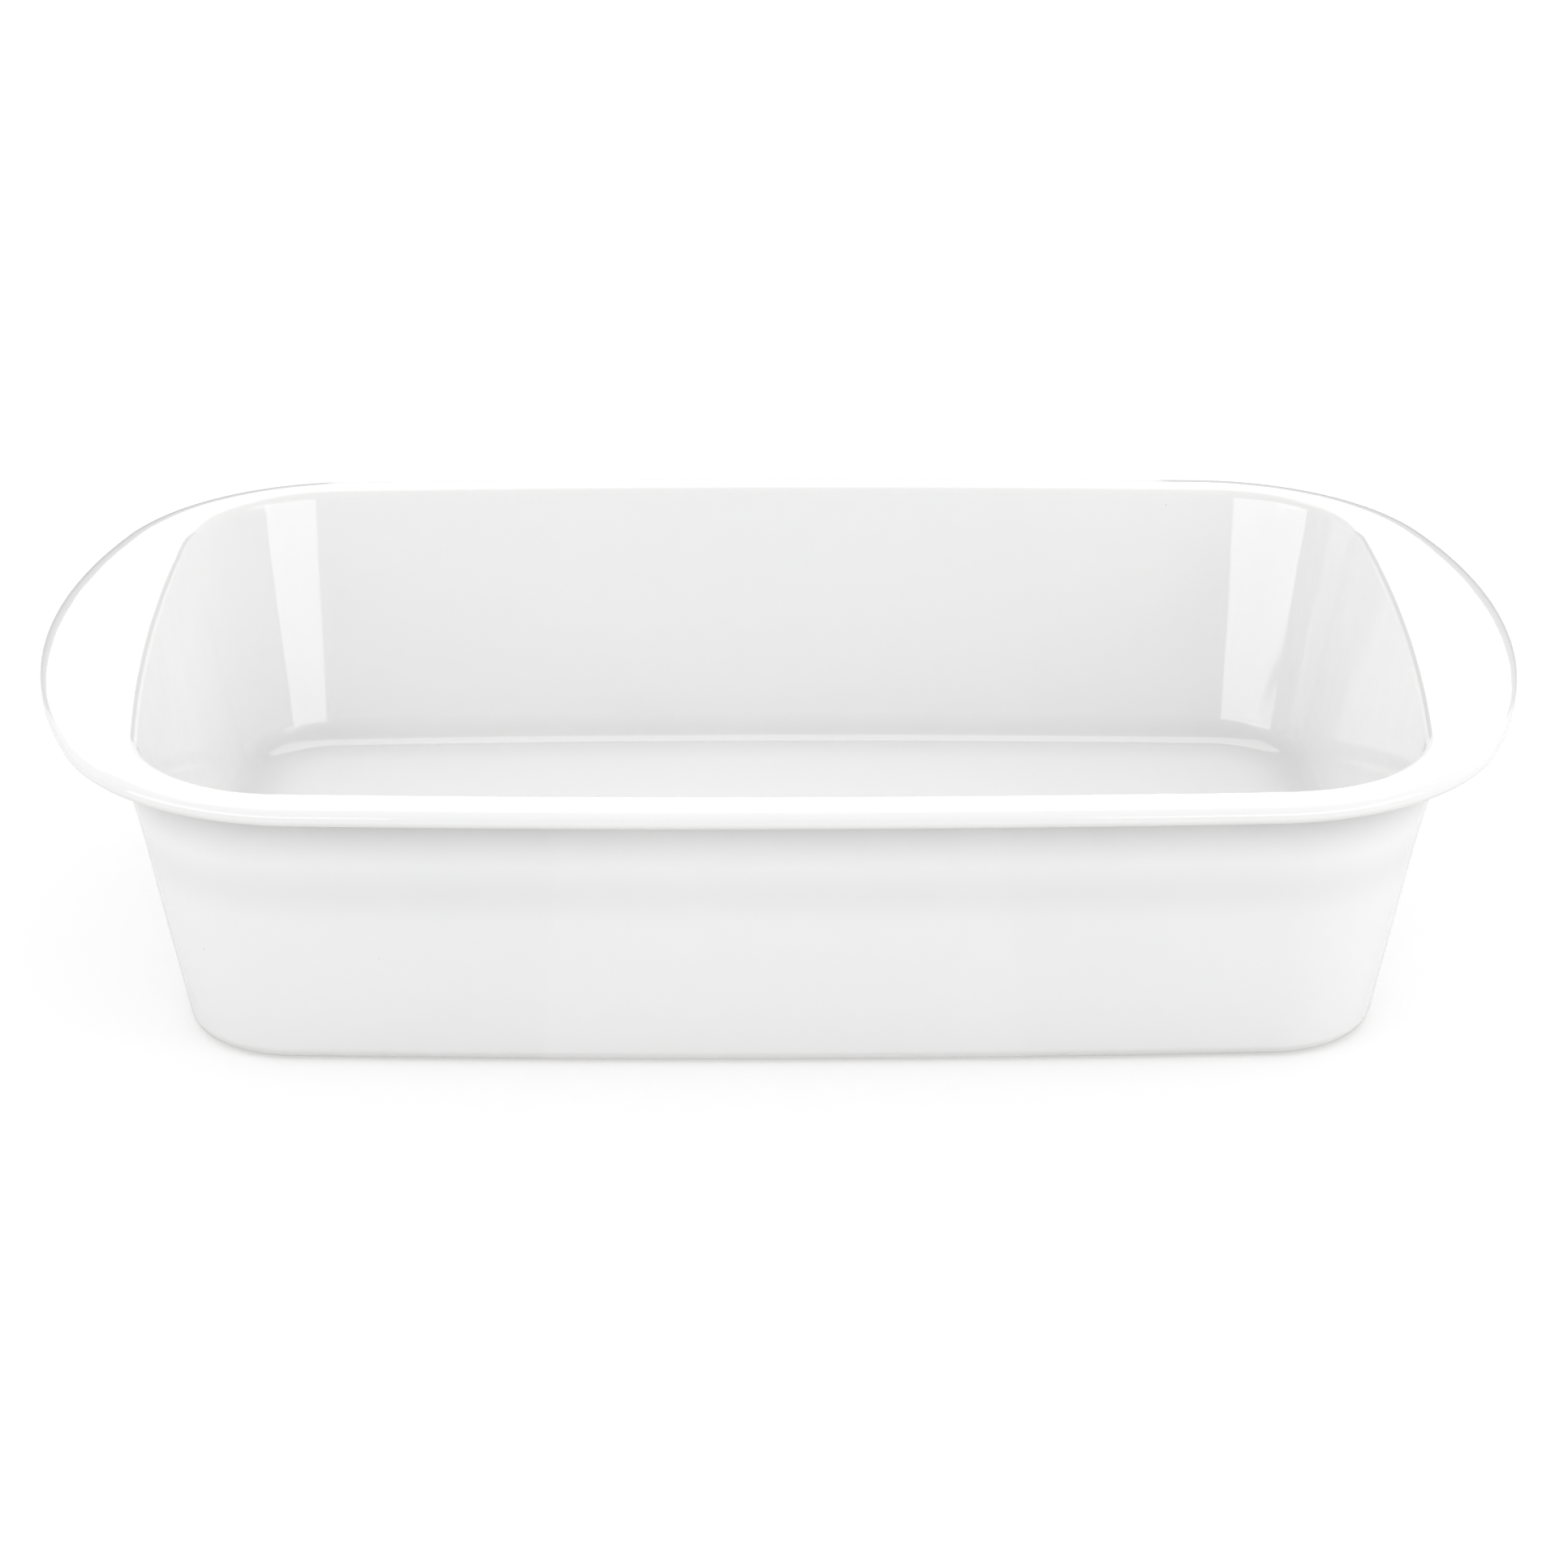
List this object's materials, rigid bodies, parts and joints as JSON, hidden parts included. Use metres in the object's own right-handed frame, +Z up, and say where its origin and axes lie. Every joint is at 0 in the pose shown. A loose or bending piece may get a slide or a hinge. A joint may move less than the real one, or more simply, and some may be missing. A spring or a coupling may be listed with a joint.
{
  "type": "lasagna dish",
  "caption": "Deep rectangular porcelain baking dish with drafted walls, rounded corners, a rolled rim that widens into a crescent ear at each end, and a bare foot ring.",
  "frame": {"origin": "centre of the foot, on the surface that the dish stands on", "axes": "+X along the dish, from ear to ear; +Y across it; +Z up, out of the basin"},
  "size_m": [0.38, 0.236, 0.078],
  "materials": {
    "bare_porcelain": "matte, fired bare",
    "white_glaze": "high gloss"
  },
  "bodies": {
    "root": {"porcelain_body": "bare_porcelain", "glaze_coat": "white_glaze", "base_glaze": "white_glaze"}
  },
  "joints": []
}
